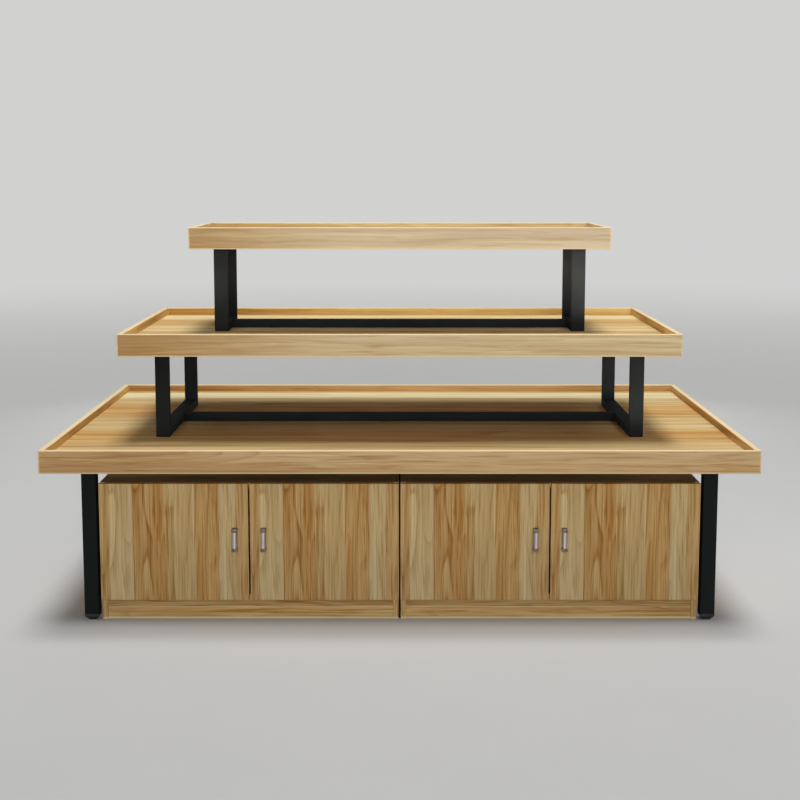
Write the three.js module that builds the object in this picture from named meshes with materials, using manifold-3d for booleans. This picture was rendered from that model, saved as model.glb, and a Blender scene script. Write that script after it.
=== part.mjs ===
// Tiered display table: three rimmed trays on a leg frame and two stands, over two low cabinets.
// Millimetres, +Z up, front towards -Y, origin on the floor below the middle of the table.
import * as THREE from "three";
import { mergeVertices } from "three/addons/utils/BufferGeometryUtils.js";
import Module from "manifold-3d";

const wasm = await Module();
wasm.setup();

// Trays: a deck board inside four mitred rim boards
const baseTrayLength = 2400;
const baseTrayDepth = 1680;
const midTrayLength = 1960;
const midTrayDepth = 1120;
const topTrayLength = 1520;
const topTrayDepth = 600;
const deckThickness = 18;
const rimThickness = 18;
const rimHeight = 78;
const rimLip = 28;
const rimEdgeRadius = 1.5;
const mitreGap = 0.3;

// Base frame: square tube, with plastic feet plugged into the legs
const frameHeight = 566;
const legInset = 117;
const legTube = 50;
const tubeWall = 2;
const tubeCorner = 3;
const tubeBoreCorner = 1;
const crossRailOffset = 350;
const footHeight = 22;
const footCollar = 8;
const footTaper = 12;
const footStem = 30;
const footCorner = 4;
const stemClearance = 0.3;
const socketSpare = 6;

// Stands: two closed hoops of flat tube and one long rail between them
const standHeight = 341;
const standTubeWidth = 50;
const standTubeThickness = 30;
const midStandEndInset = 105;
const midStandFrontInset = 164;
const topStandEndInset = 75;
const topStandFrontInset = 130;

// Cabinets: boards between two sides, with overlay doors flush with the legs
const cabinetDepth = 700;
const cabinetHeadroom = 36;
const legToCabinet = 10;
const cabinetGap = 8;
const panelThickness = 18;
const backThickness = 9;
const kickHeight = 70;
const kickRecess = 3;
const doorGap = 2;
const doorOverhang = 1;
const doorSplit = 6;
const doorReveal = 2;

// Bridge handles: a rounded bar between two posts
const handleFromEdge = 46;
const handleBelowTop = 192;
const handleSpacing = 68;
const handleWidth = 19;
const handlePostHeight = 12;
const handlePostLength = 27;
const handlePostCorner = 4;
const handlePostEdge = 1.5;
const handleBarWidth = 16;
const handleBarThickness = 11;
const handleBarReach = 22;

// Concealed hinges: a cup in the door's back and an arm on the cabinet's side
const hingeFromDoorEnd = 75;
const cupFromEdge = 22.5;
const cupRadius = 16;
const cupDepth = 11.5;
const cupFlangeRadius = 19;
const cupFlangeThickness = 1.2;
const cupEarSpan = 60;
const cupEarWidth = 14;
const cupEarCorner = 5;
const noseSeat = 0.4;
const noseClear = 1.5;
const noseWidth = 8.5;
const armRise = 16;
const armWidth = 14;
const plateThickness = 4;
const plateLength = 46;
const plateHeight = 36;
const plateCorner = 6;
const plateSetback = 14;

// Clearance between pieces that rest on each other
const fitGap = 0.2;

// Divisions of a rounded corner, a full circle and the handle's bar: an arc has two points for each
const cornerSegments = 2;
const circleSegments = 12;
const barSegments = 8;

// Places that follow from the sizes
const baseDeckTop = frameHeight + fitGap + deckThickness;
const tierRise = standHeight + 2 * fitGap + deckThickness;
const midDeckTop = baseDeckTop + tierRise;
const topDeckTop = midDeckTop + tierRise;
const frameLength = baseTrayLength - 2 * legInset;
const frameDepth = baseTrayDepth - 2 * legInset;
const frameFront = -frameDepth / 2;
const legX = (frameLength - legTube) / 2;
const legY = (frameDepth - legTube) / 2;
const railZ = frameHeight - legTube / 2;
const cabinetHeight = frameHeight - legTube - cabinetHeadroom;
const cabinetSpan = frameLength - 2 * legTube - 2 * legToCabinet;
const cabinetWidth = (cabinetSpan - cabinetGap) / 2;
const cabinetX = (cabinetWidth + cabinetGap) / 2;
const carcassFront = panelThickness + doorGap;
const doorWidth = (cabinetWidth + 2 * doorOverhang - doorSplit) / 2;
const doorBottom = kickHeight + doorReveal;
const doorHeight = cabinetHeight - doorReveal - doorBottom;
const sideFace = doorOverhang + panelThickness;

// Materials
const finish = (name, color, roughness, metalness) =>
  new THREE.MeshStandardMaterial({ name, color, roughness, metalness });
const wood = finish("wood", 0xc9a670, 0.5, 0);
const blackSteel = finish("black steel", 0x1e2021, 0.5, 0.3);
const blackPlastic = finish("black plastic", 0x2b2b2b, 0.6, 0);
const satinMetal = finish("satin metal", 0x9e9691, 0.35, 0.9);
const zinc = finish("zinc", 0xb4b6b8, 0.35, 0.9);

// Axis orders for an extrusion: where its width, height and length point
const alongX = new THREE.Matrix4().makeBasis(axis(0, 1, 0), axis(0, 0, 1), axis(1, 0, 0));
const alongY = new THREE.Matrix4().makeBasis(axis(0, 0, 1), axis(1, 0, 0), axis(0, 1, 0));
const towardsFront = new THREE.Matrix4().makeBasis(axis(1, 0, 0), axis(0, 0, 1), axis(0, -1, 0));
const towardsBack = new THREE.Matrix4().makeBasis(axis(-1, 0, 0), axis(0, 0, 1), axis(0, 1, 0));

function axis(x, y, z) {
  return new THREE.Vector3(x, y, z);
}

// Outlines

// A rectangle with rounded corners, about its centre.
function roundedRectangle(width, height, radius, Outline = THREE.Shape) {
  const x = width / 2 - radius;
  const y = height / 2 - radius;
  const quarter = Math.PI / 2;
  const outline = new Outline();
  outline.absarc(x, y, radius, 0, quarter);
  outline.absarc(-x, y, radius, quarter, 2 * quarter);
  outline.absarc(-x, -y, radius, 2 * quarter, 3 * quarter);
  outline.absarc(x, -y, radius, 3 * quarter, 4 * quarter);
  return outline;
}

function circle(radius) {
  return new THREE.Shape().absarc(0, 0, radius, 0, 2 * Math.PI);
}

function polygon(corners) {
  return new THREE.Shape(corners.map(([x, y]) => new THREE.Vector2(x, y)));
}

// Solids

function extrude(outline, depth, options = {}) {
  return new THREE.ExtrudeGeometry(outline, {
    depth,
    bevelEnabled: false,
    curveSegments: cornerSegments,
    ...options,
  });
}

// An extrusion of a given full depth whose end outlines are rounded, centred on its length.
function extrudeRounded(outline, depth, radius) {
  const geometry = extrude(outline, depth - 2 * radius, {
    bevelEnabled: true,
    bevelThickness: radius,
    bevelSize: radius,
    bevelOffset: -radius,
    bevelSegments: cornerSegments,
  });
  return geometry.translate(0, 0, radius - depth / 2);
}

function board(sizeX, sizeY, sizeZ) {
  return new THREE.BoxGeometry(sizeX, sizeY, sizeZ);
}

// A tube with open ends, centred on its length.
function openTube(width, height, length) {
  const outline = roundedRectangle(width, height, tubeCorner);
  const boreWidth = width - 2 * tubeWall;
  const boreHeight = height - 2 * tubeWall;
  outline.holes.push(roundedRectangle(boreWidth, boreHeight, tubeBoreCorner, THREE.Path));
  return extrude(outline, length).translate(0, 0, -length / 2);
}

// A stack of rounded squares, each level given as its height, width and corner radius.
function squareStack(levels) {
  const ring = ([z, width, corner]) => {
    const points = roundedRectangle(width, width, corner).extractPoints(cornerSegments).shape;
    return points.map((point) => [point.x, point.y, z]);
  };
  const rings = levels.map(ring);
  const count = rings[0].length;
  const positions = rings.flat(2);
  const faces = [];
  for (let level = 0; level + 1 < rings.length; level += 1) {
    for (let i = 0; i < count; i += 1) {
      const low = level * count + i;
      const lowNext = level * count + ((i + 1) % count);
      faces.push(low, lowNext, lowNext + count, low, lowNext + count, low + count);
    }
  }
  const last = (rings.length - 1) * count;
  for (let i = 1; i + 1 < count; i += 1) {
    faces.push(0, i + 1, i, last, last + i, last + i + 1);
  }
  const geometry = new THREE.BufferGeometry();
  geometry.setAttribute("position", new THREE.Float32BufferAttribute(positions, 3));
  geometry.setIndex(faces);
  return geometry;
}

// Booleans

function solid(geometry) {
  const bare = new THREE.BufferGeometry();
  const plain = geometry.index ? geometry.toNonIndexed() : geometry;
  bare.setAttribute("position", plain.getAttribute("position"));
  const merged = mergeVertices(bare, 1e-4);
  const vertProperties = merged.getAttribute("position").array;
  const triVerts = new Uint32Array(merged.index.array);
  return new wasm.Manifold(new wasm.Mesh({ numProp: 3, vertProperties, triVerts }));
}

function geometryOf(manifold) {
  const mesh = manifold.getMesh();
  const geometry = new THREE.BufferGeometry();
  geometry.setAttribute("position", new THREE.BufferAttribute(mesh.vertProperties, 3));
  geometry.setIndex(new THREE.BufferAttribute(mesh.triVerts, 1));
  const faceted = geometry.toNonIndexed();
  faceted.computeVertexNormals();
  return faceted;
}

// Scene graph

function group(x, y, z, ...children) {
  const made = new THREE.Group();
  made.position.set(x, y, z);
  made.add(...children);
  return made;
}

function piece(name, geometry, material, x = 0, y = 0, z = 0) {
  const mesh = new THREE.Mesh(geometry, material);
  mesh.name = name;
  mesh.position.set(x, y, z);
  return mesh;
}

// Tray rim board: its outer face lies at y = 0, and both ends are cut back at 45 degrees.
function rimBoard(length) {
  const outline = roundedRectangle(rimThickness, rimHeight, rimEdgeRadius);
  const geometry = extrude(outline, 1);
  geometry.translate(rimThickness / 2, 0, -0.5);
  const place = geometry.getAttribute("position");
  const cutBack = mitreGap / Math.SQRT2;
  for (let i = 0; i < place.count; i += 1) {
    const inward = place.getX(i);
    place.setZ(i, place.getZ(i) * (length - 2 * inward - 2 * cutBack));
  }
  geometry.applyMatrix4(alongX);
  geometry.computeVertexNormals();
  return geometry;
}

function rim(name, length, x, y, turns) {
  const mesh = piece(name, rimBoard(length), wood, x, y, rimLip - rimHeight / 2);
  mesh.rotation.z = (turns * Math.PI) / 2;
  return mesh;
}

function tray(name, length, depth, deckTop) {
  const deckLength = length - 2 * rimThickness - 2 * fitGap;
  const deckDepth = depth - 2 * rimThickness - 2 * fitGap;
  const deck = board(deckLength, deckDepth, deckThickness);
  return group(
    0,
    0,
    deckTop,
    piece(`${name}_tray_deck`, deck, wood, 0, 0, -deckThickness / 2),
    rim(`${name}_tray_front_rim`, length, 0, -depth / 2, 0),
    rim(`${name}_tray_right_rim`, depth, length / 2, 0, 1),
    rim(`${name}_tray_back_rim`, length, 0, depth / 2, 2),
    rim(`${name}_tray_left_rim`, depth, -length / 2, 0, 3),
  );
}

// End frame: two legs and a top rail welded into one piece, with a socket for a foot in each leg.
function endFrame() {
  const y = frameDepth / 2;
  const inner = y - legTube;
  const below = footHeight - legTube;
  const underRail = frameHeight - legTube;
  const outline = polygon([
    [-y, below],
    [-inner, below],
    [-inner, underRail],
    [inner, underRail],
    [inner, below],
    [y, below],
    [y, frameHeight],
    [-y, frameHeight],
  ]);
  const tube = extrudeRounded(outline, legTube, tubeCorner).applyMatrix4(alongX);
  const bore = legTube - 2 * tubeWall;
  const boreLength = legTube + footStem + socketSpare;
  const socket = roundedRectangle(bore, bore, tubeBoreCorner);
  const floorCut = board(2 * legTube, 2 * frameDepth, 2 * legTube);
  floorCut.translate(0, 0, footHeight - legTube);
  let frame = solid(tube).subtract(solid(floorCut));
  for (const side of [-1, 1]) {
    const cut = extrude(socket, boreLength).translate(0, side * legY, footHeight - legTube);
    frame = frame.subtract(solid(cut));
  }
  return geometryOf(frame);
}

// Foot: a collar as wide as the leg, a taper down to the floor and a stem up into the leg.
function foot() {
  const collarTop = footHeight - fitGap;
  const taperTop = footHeight - footCollar;
  const sole = legTube - 2 * footTaper;
  const stem = legTube - 2 * tubeWall - 2 * stemClearance;
  const stemTip = collarTop + footStem;
  return squareStack([
    [0, sole, footCorner],
    [taperTop, legTube, tubeCorner],
    [collarTop, legTube, tubeCorner],
    [collarTop, stem, tubeBoreCorner],
    [stemTip, stem, tubeBoreCorner],
  ]);
}

function baseFrame() {
  const longRail = frameLength - 2 * legTube - 2 * fitGap;
  const crossRail = frameDepth - 2 * legTube - 2 * fitGap;
  const longTube = () => openTube(legTube, legTube, longRail).applyMatrix4(alongX);
  const crossTube = () => openTube(legTube, legTube, crossRail).applyMatrix4(alongY);
  const made = group(
    0,
    0,
    0,
    piece("base_left_end_frame", endFrame(), blackSteel, -legX),
    piece("base_right_end_frame", endFrame(), blackSteel, legX),
    piece("base_front_rail", longTube(), blackSteel, 0, -legY, railZ),
    piece("base_back_rail", longTube(), blackSteel, 0, legY, railZ),
    piece("base_left_cross_rail", crossTube(), blackSteel, -crossRailOffset, 0, railZ),
    piece("base_right_cross_rail", crossTube(), blackSteel, crossRailOffset, 0, railZ),
  );
  for (const [sideX, nameX] of [[-1, "left"], [1, "right"]]) {
    for (const [sideY, nameY] of [[-1, "front"], [1, "back"]]) {
      const name = `${nameY}_${nameX}_foot`;
      made.add(piece(name, foot(), blackPlastic, sideX * legX, sideY * legY));
    }
  }
  return made;
}

// Stand hoop: a closed loop of flat tube, with its foot rail on the deck below.
function hoop(depth) {
  const outline = polygon([
    [-depth / 2, 0],
    [depth / 2, 0],
    [depth / 2, standHeight],
    [-depth / 2, standHeight],
  ]);
  const inner = depth / 2 - standTubeThickness;
  const low = standTubeThickness;
  const high = standHeight - standTubeThickness;
  const gap = polygon([
    [-inner, low],
    [-inner, high],
    [inner, high],
    [inner, low],
  ]);
  outline.holes.push(gap);
  return extrudeRounded(outline, standTubeWidth, tubeCorner).applyMatrix4(alongX);
}

function stand(name, length, depth, deckTop) {
  const hoopX = (length - standTubeWidth) / 2;
  const railLength = length - 2 * standTubeWidth - 2 * fitGap;
  const railTube = openTube(standTubeWidth, standTubeThickness, railLength);
  return group(
    0,
    0,
    deckTop + fitGap,
    piece(`${name}_stand_left_hoop`, hoop(depth), blackSteel, -hoopX),
    piece(`${name}_stand_right_hoop`, hoop(depth), blackSteel, hoopX),
    piece(`${name}_stand_rail`, railTube.applyMatrix4(alongX), blackSteel, 0, 0, standTubeThickness / 2),
  );
}

// Door: its hinged edge lies at x = 0, its front at y = 0 and its lower edge at z = 0.
// The cups of its hinges are let into its back, each with a flange and two screw ears.
function door() {
  const panel = board(doorWidth, panelThickness, doorHeight);
  panel.translate(doorWidth / 2, panelThickness / 2, doorHeight / 2);
  let made = solid(panel);
  const sunk = panelThickness - cupDepth;
  const flangeBase = panelThickness - cupFlangeThickness;
  const flangeDepth = 2 * cupFlangeThickness;
  const ears = roundedRectangle(cupEarWidth, cupEarSpan, cupEarCorner);
  const round = { curveSegments: circleSegments };
  for (const height of hingeHeights()) {
    const place = (geometry, y) => solid(geometry.applyMatrix4(towardsBack).translate(cupFromEdge, y, height));
    const ring = extrude(circle(cupFlangeRadius), flangeDepth, round);
    const cup = extrude(circle(cupRadius), 2 * cupDepth, round);
    made = made.add(place(ring, flangeBase));
    made = made.add(place(extrude(ears, flangeDepth), flangeBase));
    made = made.subtract(place(cup, sunk));
  }
  return geometryOf(made);
}

function hingeHeights() {
  return [hingeFromDoorEnd, doorHeight - hingeFromDoorEnd];
}

// Hinge arm: a plate on the cabinet's side, and an arm from it whose nose reaches into the cup.
function hingeArm() {
  const noseTip = panelThickness - cupDepth + noseSeat;
  const noseSide = sideFace + noseClear;
  const plateFront = carcassFront + plateSetback;
  const plateBack = plateFront + plateLength;
  const armBase = sideFace + fitGap + plateThickness / 2;
  const armTop = sideFace + armRise;
  const outline = polygon([
    [noseSide, noseTip],
    [noseSide + noseWidth, noseTip],
    [armTop, plateFront],
    [armTop, plateBack],
    [armBase, plateBack],
    [armBase, plateFront],
    [noseSide, carcassFront],
  ]);
  const arm = extrude(outline, armWidth).translate(0, 0, -armWidth / 2);
  const plate = extrude(roundedRectangle(plateLength, plateHeight, plateCorner), plateThickness);
  plate.applyMatrix4(alongX).translate(sideFace + fitGap, (plateFront + plateBack) / 2, 0);
  return geometryOf(solid(arm).add(solid(plate)));
}

// Handle: its posts stand on the door's front at y = 0 and reach towards the front.
function handle() {
  const outline = roundedRectangle(handleWidth, handlePostHeight, handlePostCorner);
  const barOutline = new THREE.Shape();
  barOutline.absellipse(0, 0, handleBarWidth / 2, handleBarThickness / 2, 0, 2 * Math.PI);
  const bar = extrude(barOutline, handleSpacing, { curveSegments: barSegments });
  let made = solid(bar.translate(0, -handleBarReach, -handleSpacing / 2));
  for (const side of [-1, 1]) {
    const post = extrudeRounded(outline, handlePostLength, handlePostEdge);
    post.translate(0, 0, handlePostLength / 2).applyMatrix4(towardsFront);
    made = made.add(solid(post.translate(0, 0, (side * handleSpacing) / 2)));
  }
  return geometryOf(made);
}

// One door with its handle and hinge arms. The right-hand door is the left one's mirror image.
function doorSet(name, side) {
  const handleX = doorWidth - handleFromEdge;
  const handleZ = doorHeight - handleBelowTop;
  const [lower, upper] = hingeHeights();
  const made = group(
    side * (cabinetWidth / 2 + doorOverhang),
    0,
    doorBottom,
    piece(`${name}_door`, door(), wood),
    piece(`${name}_handle`, handle(), satinMetal, handleX, -fitGap, handleZ),
    piece(`${name}_upper_hinge`, hingeArm(), zinc, 0, 0, upper),
    piece(`${name}_lower_hinge`, hingeArm(), zinc, 0, 0, lower),
  );
  made.scale.x = -side;
  return made;
}

function cabinet(name, centreX) {
  const innerWidth = cabinetWidth - 2 * panelThickness - 2 * fitGap;
  const shelfDepth = cabinetDepth - backThickness - fitGap;
  const sideX = (cabinetWidth - panelThickness) / 2;
  const middleY = carcassFront + cabinetDepth / 2;
  const shelfY = carcassFront + shelfDepth / 2;
  const backY = carcassFront + cabinetDepth - backThickness / 2;
  const kickY = carcassFront + kickRecess + panelThickness / 2;
  const kickBoard = kickHeight - fitGap;
  const backHeight = cabinetHeight - kickHeight;
  const side = () => board(panelThickness, cabinetDepth, cabinetHeight);
  const shelf = () => board(innerWidth, shelfDepth, panelThickness);
  const back = board(innerWidth, backThickness, backHeight);
  const kick = board(innerWidth, panelThickness, kickBoard);
  return group(
    centreX,
    frameFront,
    0,
    piece(`${name}_left_side`, side(), wood, -sideX, middleY, cabinetHeight / 2),
    piece(`${name}_right_side`, side(), wood, sideX, middleY, cabinetHeight / 2),
    piece(`${name}_top`, shelf(), wood, 0, shelfY, cabinetHeight - panelThickness / 2),
    piece(`${name}_bottom`, shelf(), wood, 0, shelfY, kickHeight + panelThickness / 2),
    piece(`${name}_back`, back, wood, 0, backY, kickHeight + backHeight / 2),
    piece(`${name}_kick`, kick, wood, 0, kickY, kickBoard / 2),
    doorSet(`${name}_left`, -1),
    doorSet(`${name}_right`, 1),
  );
}

const midStandLength = midTrayLength - 2 * midStandEndInset;
const midStandDepth = midTrayDepth - 2 * midStandFrontInset;
const topStandLength = topTrayLength - 2 * topStandEndInset;
const topStandDepth = topTrayDepth - 2 * topStandFrontInset;

const table = group(
  0,
  0,
  0,
  baseFrame(),
  tray("base", baseTrayLength, baseTrayDepth, baseDeckTop),
  stand("mid", midStandLength, midStandDepth, baseDeckTop),
  tray("mid", midTrayLength, midTrayDepth, midDeckTop),
  stand("top", topStandLength, topStandDepth, midDeckTop),
  tray("top", topTrayLength, topTrayDepth, topDeckTop),
  cabinet("left_cabinet", -cabinetX),
  cabinet("right_cabinet", cabinetX),
);
table.name = "tiered_display_table";

export default table;
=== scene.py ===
"""Looks for the tiered display table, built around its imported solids. Metres, +Z up, front towards -Y."""

import math

import bmesh
import bpy
from mathutils import Matrix, Vector


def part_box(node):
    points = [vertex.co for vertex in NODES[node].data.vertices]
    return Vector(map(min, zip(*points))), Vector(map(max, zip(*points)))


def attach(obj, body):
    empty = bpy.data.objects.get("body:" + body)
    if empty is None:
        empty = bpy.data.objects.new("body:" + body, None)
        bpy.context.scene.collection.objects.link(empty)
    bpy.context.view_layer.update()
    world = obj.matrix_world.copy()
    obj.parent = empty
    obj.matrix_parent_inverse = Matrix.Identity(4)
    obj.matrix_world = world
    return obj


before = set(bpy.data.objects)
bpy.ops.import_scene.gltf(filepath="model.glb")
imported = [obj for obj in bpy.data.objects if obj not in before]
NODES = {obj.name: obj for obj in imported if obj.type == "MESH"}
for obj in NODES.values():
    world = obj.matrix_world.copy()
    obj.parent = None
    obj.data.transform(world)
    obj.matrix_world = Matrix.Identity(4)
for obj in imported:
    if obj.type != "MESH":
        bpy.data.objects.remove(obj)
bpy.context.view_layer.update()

# Files, bodies and the words that names are made of
TABLE_BODY = "table"
CABINETS = ("left_cabinet", "right_cabinet")
SIDES = ("left", "right")
ENDS = ("front", "back")
TRAYS = ("base", "mid", "top")
STANDS = ("mid", "top")
HINGE_LEVELS = ("upper", "lower")

# Camera, as solved from the photo's perspective
CAMERA_PLACE = (0.0013, -5.9567, 1.5107)
CAMERA_TILT = 8.1023
CAMERA_LENS = 70.5395
CAMERA_SENSOR = 36.0

# Backdrop and floor. The floor throws back less light than its own colour would.
BACKDROP = (0.64, 0.64, 0.635, 1.0)
FLOOR_COLOUR = (0.58, 0.58, 0.575, 1.0)
FLOOR_BOUNCE = (0.1, 0.1, 0.1, 1.0)
FLOOR_HALF = 40.0
FLOOR_FADE_FROM = 5.0
FLOOR_FADE_TO = 18.0
FLOOR_SPECKLE_SCALE = 3.0
FLOOR_SPECKLE_LEVELS = (0.985, 1.0)
FLOOR_ROUGHNESS = 0.9
FLOOR_GLOSS = 0.1

# Light levels are the share of a surface's own colour that the light brings out
WHITE = (1.0, 1.0, 1.0, 1.0)
AMBIENT_LEVEL = 0.035

# Distant lights: tilt from overhead towards the front, level on a surface that faces them, and angular width
SUNS = {
    "key_front": (9.0, 0.365, 18.0),
    "key_back": (-9.0, 0.355, 18.0),
    "low_front": (88.0, 0.535, 16.0),
}
SUN_LEAN = 2.2
SUN_AWAY = 6.0

# Soft panels: place, the point they face, width, height, level at that point and how far the light fans out
TABLE_MIDDLE = (0.0, 0.0, 0.6)
PANELS = {
    "front_panel": ((1.4, -5.0, 2.15), (0.0, -0.75, 0.4), 3.6, 0.5, 0.13, 100.0),
    "upper_panel": ((0.0, -2.4, 2.6), (0.0, -0.28, 1.31), 2.6, 0.5, 0.42, 60.0),
    "left_panel": ((-5.4, -0.6, 0.9), TABLE_MIDDLE, 2.6, 0.6, 0.3, 90.0),
    "right_panel": ((5.4, -0.6, 0.9), TABLE_MIDDLE, 2.6, 0.6, 0.33, 90.0),
    "top_left_panel": ((-2.6, -0.4, 2.35), (0.74, 0.0, 1.3), 1.0, 0.4, 0.18, 40.0),
    "top_right_panel": ((2.6, -0.4, 2.35), (-0.74, 0.0, 1.3), 1.0, 0.4, 0.18, 40.0),
    "mid_left_panel": ((-2.0, -0.2, 2.6), (-0.72, -0.05, 0.945), 0.6, 0.8, 0.16, 40.0),
    "mid_right_panel": ((2.0, -0.2, 2.6), (0.72, -0.05, 0.945), 0.6, 0.8, 0.16, 40.0),
    "end_panel": ((2.3, -0.3, 2.5), (1.08, -0.1, 0.58), 0.8, 0.8, 0.1, 70.0),
    "back_panel": ((0.0, 5.6, 0.9), TABLE_MIDDLE, 3.6, 0.6, 0.46, 90.0),
}


def srgb(red, green, blue):
    """A linear colour from display values of 0 to 255."""
    def linear(value):
        share = value / 255
        return share / 12.92 if share <= 0.04045 else ((share + 0.055) / 1.055) ** 2.4
    return (linear(red), linear(green), linear(blue), 1.0)


# Wood tints, from the palest stave to the darkest
# The palest tint is partly pale wood and partly a painted highlight: it stands in for the glare on the decks'
# back strips.
IVORY_AND_GLARE = srgb(243, 222, 172)
CREAM = srgb(224, 202, 158)
PALE = srgb(222, 197, 146)
STRAW = srgb(221, 191, 136)
HONEY = srgb(221, 184, 124)
TAN = srgb(214, 179, 123)
AMBER = srgb(218, 178, 116)
RUST = srgb(215, 170, 106)

# Staves of each board, in order across the grain: width, tint, strength of the figure, and softness of the
# joint before. An edged joint has a pale line of sapwood along it.
CRISP = 0.0012
EDGED = 0.0013
SOFT = 0.006
DOOR_STAVES = (
    (0.037, TAN, 0.8, CRISP),
    (0.081, PALE, 0.6, CRISP),
    (0.068, HONEY, 1.0, EDGED),
    (0.043, RUST, 1.0, EDGED),
    (0.032, STRAW, 0.9, CRISP),
    (0.067, STRAW, 0.6, SOFT),
    (0.088, AMBER, 1.0, EDGED),
    (0.054, PALE, 0.8, EDGED),
    (0.0495, TAN, 1.0, CRISP),
)
BASE_STAVES = (
    (0.1, TAN, 0.8, CRISP),
    (0.11, STRAW, 0.6, CRISP),
    (0.07, STRAW, 0.8, CRISP),
    (0.09, HONEY, 0.9, CRISP),
    (0.08, AMBER, 0.9, CRISP),
    (0.12, RUST, 0.9, CRISP),
    (0.05, HONEY, 0.8, SOFT),
    (0.09, PALE, 0.6, CRISP),
    (0.16, STRAW, 0.8, CRISP),
    (0.09, TAN, 0.9, CRISP),
    (0.07, AMBER, 0.9, CRISP),
    (0.16, RUST, 0.85, CRISP),
    (0.12, HONEY, 0.9, CRISP),
    (0.12, PALE, 0.6, CRISP),
    # This back stave is partly a painted highlight of glare.
    (0.17, IVORY_AND_GLARE, 0.4, CRISP),
    (0.03, TAN, 0.8, CRISP),
)
TIER_STAVES = (
    (0.1, TAN, 0.8, CRISP),
    (0.17, PALE, 0.4, CRISP),
    (0.115, STRAW, 0.7, CRISP),
    (0.09, CREAM, 0.4, CRISP),
    (0.11, PALE, 0.5, CRISP),
    (0.09, STRAW, 0.6, CRISP),
    (0.1, HONEY, 0.7, CRISP),
    (0.06, STRAW, 0.6, SOFT),
    (0.06, CREAM, 0.5, CRISP),
    # This back stave is partly a painted highlight of glare.
    (0.15, IVORY_AND_GLARE, 0.3, CRISP),
    (0.025, TAN, 0.8, CRISP),
)
DECK_STAVES = {"base": BASE_STAVES, "mid": TIER_STAVES, "top": TIER_STAVES}
# The upper trays' rims are paler: partly the wood, partly painted light for the stronger light on the upper
# tiers.
RIM_STAVES = {
    "base": ((0.2, srgb(219, 188, 141), 0.65, SOFT), (0.2, srgb(213, 177, 129), 0.65, SOFT)),
    "mid": ((0.2, srgb(216, 195, 156), 0.48, SOFT), (0.2, srgb(213, 188, 146), 0.48, SOFT)),
    "top": ((0.2, srgb(217, 197, 164), 0.43, SOFT), (0.2, srgb(214, 190, 154), 0.43, SOFT)),
}
KICK_STAVES = ((0.05, TAN, 0.9, CRISP), (0.033, srgb(194, 161, 109), 0.9, EDGED))

# The part of a noise's range that its tints and levels are spread over
NOISE_LOW = 0.3
NOISE_HIGH = 0.7


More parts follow.
